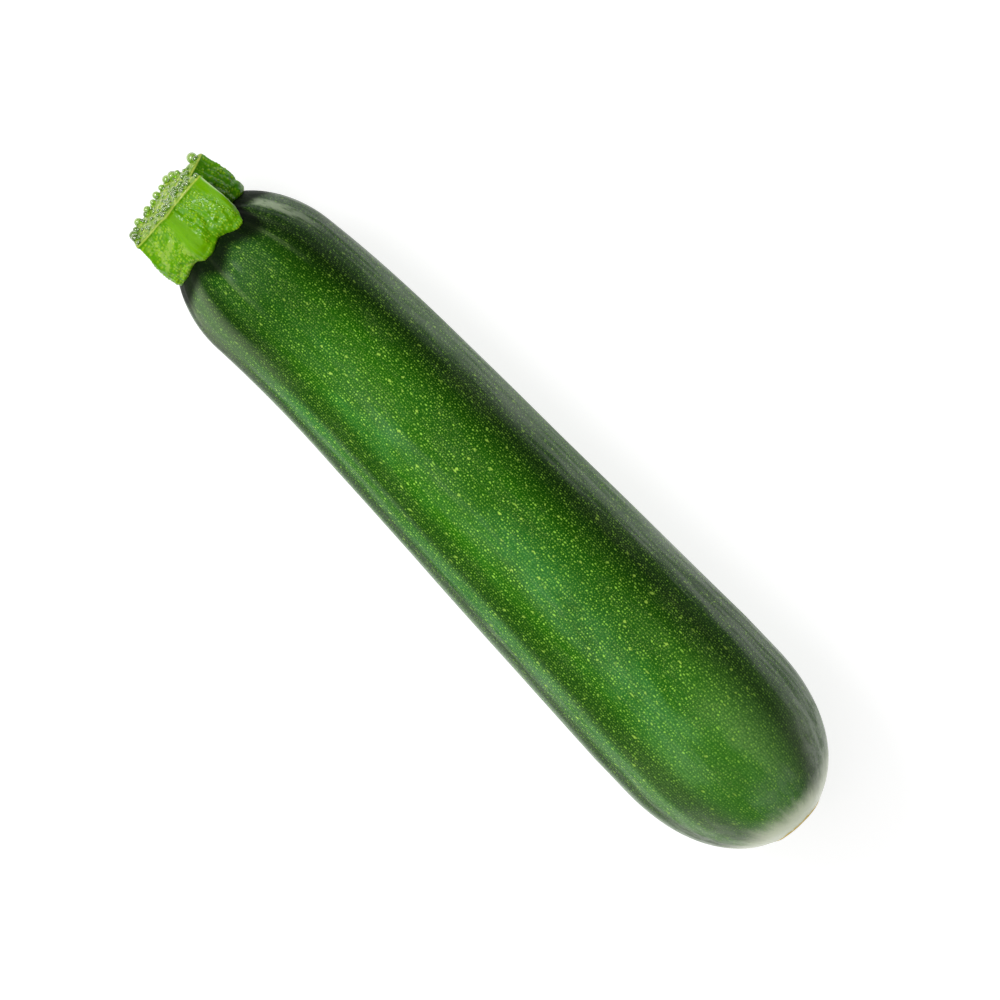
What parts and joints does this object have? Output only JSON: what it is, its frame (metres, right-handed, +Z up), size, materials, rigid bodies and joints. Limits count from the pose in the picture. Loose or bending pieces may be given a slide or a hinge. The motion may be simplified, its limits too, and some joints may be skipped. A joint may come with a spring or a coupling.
{
  "type": "courgette",
  "caption": "Dark green courgette as picked, lying on its side, with a ribbed fruit and a short ridged stub of stalk cut square.",
  "frame": {"origin": "on the surface that the courgette lies on, under the middle of its bounding box", "axes": "+X along the fruit, from the stalk to the blossom end; +Y across it; +Z up"},
  "size_m": [0.2008, 0.0464, 0.0465],
  "materials": {
    "skin": "waxy dark green skin with fine pale flecks in rows, paler soft ribs and a tan scar at the blossom end",
    "stalk_flesh": "bright yellow-green, waxy on the ridges and pimpled in the furrows, with a pale wet cut",
    "sap": "clear wet beads of sap"
  },
  "bodies": {
    "root": {"fruit": "skin", "stalk": "stalk_flesh"}
  },
  "joints": []
}
